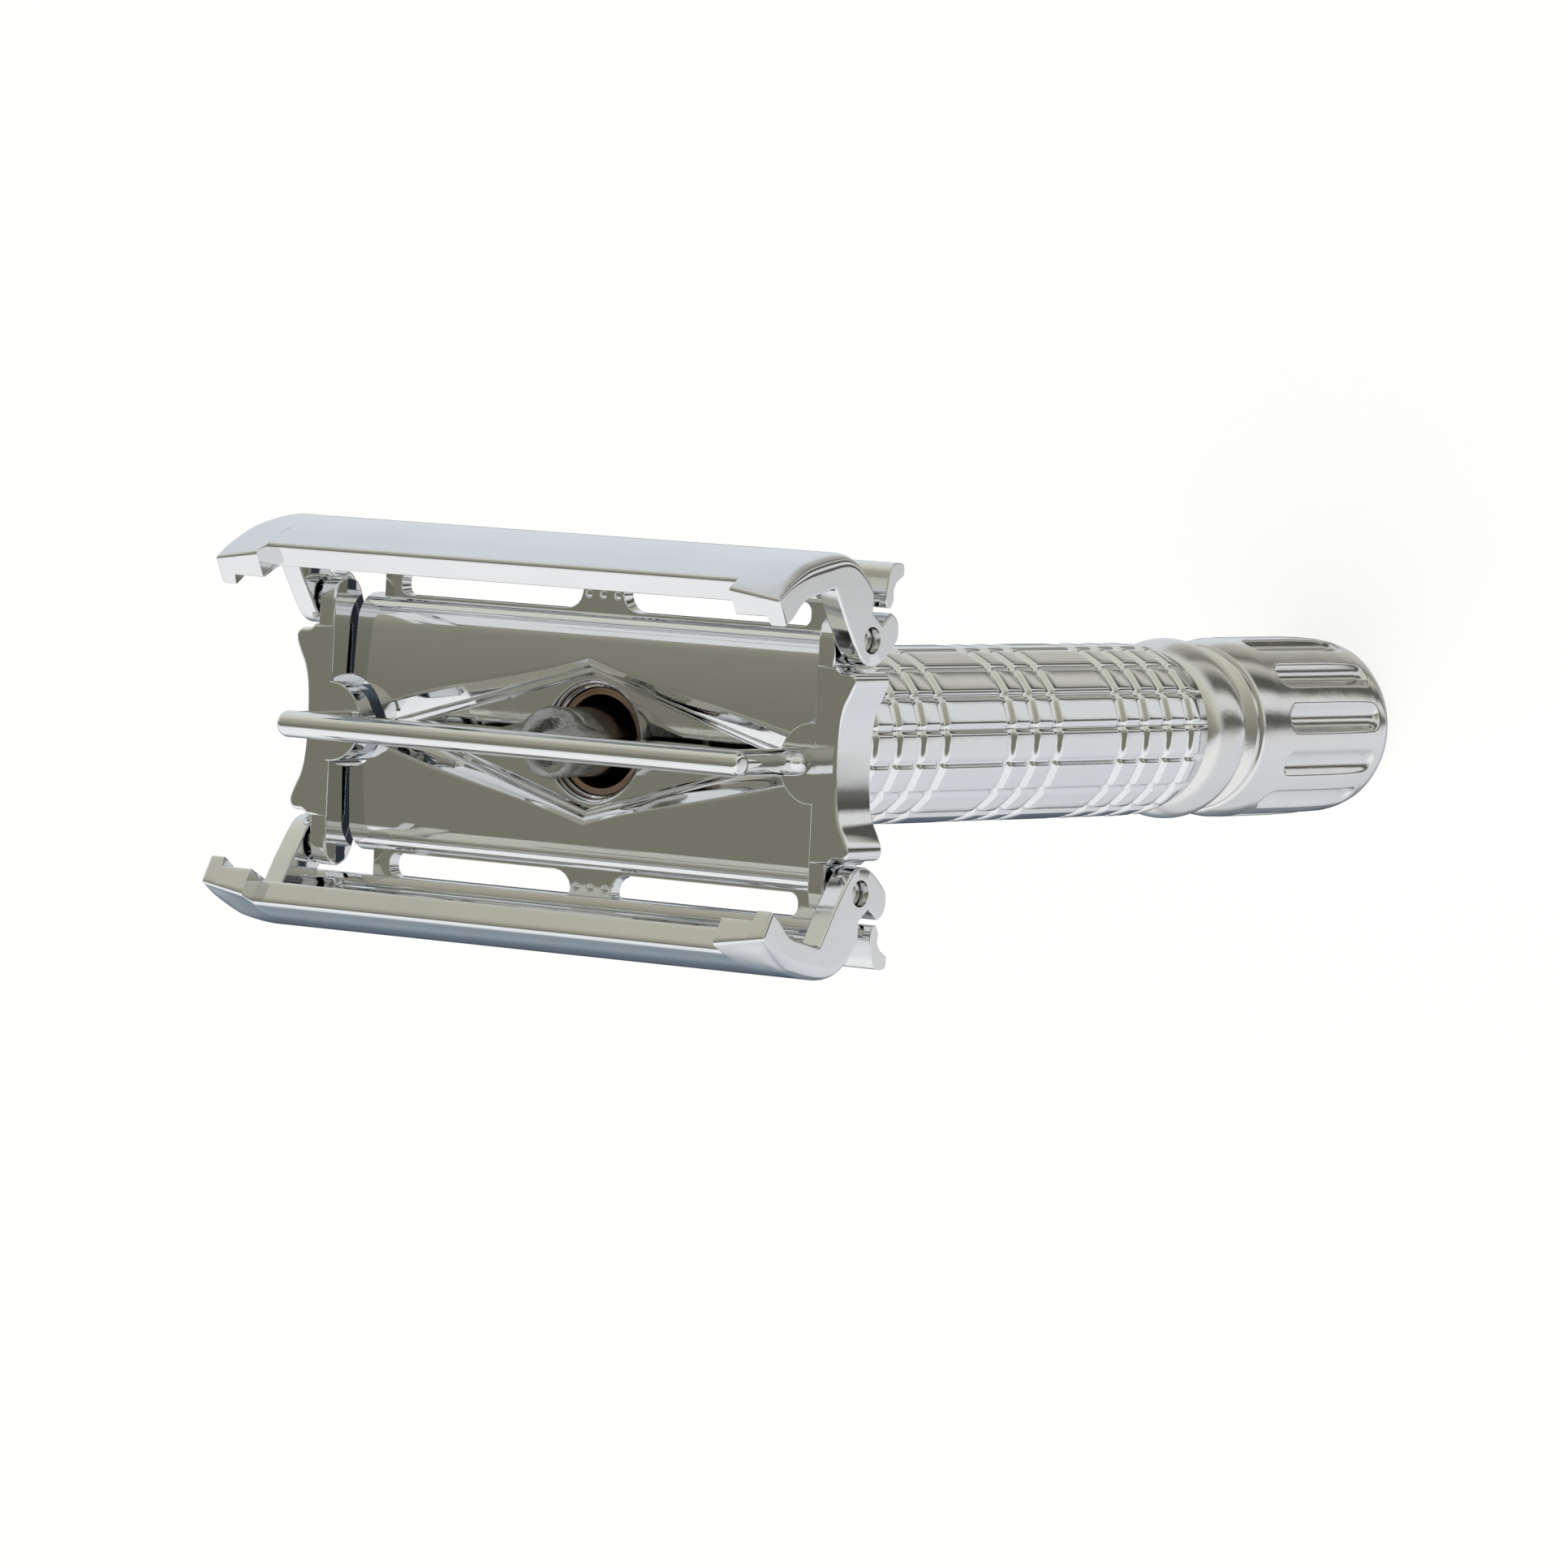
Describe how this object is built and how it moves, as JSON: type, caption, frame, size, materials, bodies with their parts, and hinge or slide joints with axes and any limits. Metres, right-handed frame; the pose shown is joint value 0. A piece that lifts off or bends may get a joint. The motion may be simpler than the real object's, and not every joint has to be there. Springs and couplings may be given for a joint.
{
  "type": "safety razor",
  "caption": "Twist-to-open double-edge safety razor: turning the knob raises the centre bar and swings two curved doors open over a slotted blade bed on a tiled grip.",
  "frame": {"origin": "centre of the knob's flat end, on the handle's axis", "axes": "+Z along the handle toward the head; +X along the head; +Y across the head, toward the front door"},
  "size_m": [0.043, 0.0252, 0.0889],
  "materials": {
    "chrome_plate": "polished chrome plating, mirror bright",
    "chrome_doors": "chrome plating, covers fine satin, edges bright",
    "chrome_bar": "polished chrome plating",
    "chrome_caps": "polished chrome plating",
    "chrome_pins": "chrome plating, slightly dull",
    "chrome_grip": "polished chrome plating over cut tiles",
    "chrome_collar": "pearl satin chrome plating",
    "chrome_knob": "soft satin chrome plating",
    "copper_alloy": "bare copper-coloured alloy, darkened",
    "brass_plain": "turned",
    "steel_dark": "unplated dark metal, rough"
  },
  "bodies": {
    "handle": {"grip_tube": "chrome_grip", "base_plate": "chrome_plate", "neck_sleeve": "copper_alloy", "rod_guide": "brass_plain", "end_collar": "chrome_collar", "tail_bush": "brass_plain", "thrust_washer": "steel_dark", "retaining_ring": "steel_dark"},
    "knob": {"knob": "chrome_knob", "drive_screw": "brass_plain", "friction_washer": "steel_dark", "knob_screw": "steel_dark"},
    "carriage": {"lift_rod": "steel_dark", "rod_nut": "brass_plain", "guide_key": "brass_plain", "centre_bar": "chrome_bar", "bar_rivet": "steel_dark", "end_cap_left": "chrome_caps", "end_cap_right": "chrome_caps", "cap_rivets": "chrome_caps", "hinge_pins": "chrome_pins"},
    "door_front": {"door_front": "chrome_doors"},
    "door_back": {"door_back": "chrome_doors"}
  },
  "joints": [
    {"name": "knob_turn", "type": "hinge", "parent": "handle", "child": "knob", "pos_m": [0, 0, 0.008], "axis": [0, 0, 1], "range_deg": [0, 540]},
    {"name": "carriage_lift", "type": "slide", "parent": "handle", "child": "carriage", "axis": [0, 0, 1], "range_m": [-0.0028, 0]},
    {"name": "door_front_hinge", "type": "hinge", "parent": "carriage", "child": "door_front", "pos_m": [0, 0.00745, 0.07935], "axis": [1, 0, 0], "range_deg": [0, 62]},
    {"name": "door_back_hinge", "type": "hinge", "parent": "carriage", "child": "door_back", "pos_m": [0, -0.00745, 0.07935], "axis": [-1, 0, 0], "range_deg": [0, 62]}
  ],
  "couplings": [
    {"joint": "knob_turn", "follows": "carriage_lift", "rad_per_m": -3366},
    {"joint": "door_front_hinge", "follows": "carriage_lift", "rad_per_m": -386.46},
    {"joint": "door_back_hinge", "follows": "carriage_lift", "rad_per_m": -386.46}
  ]
}
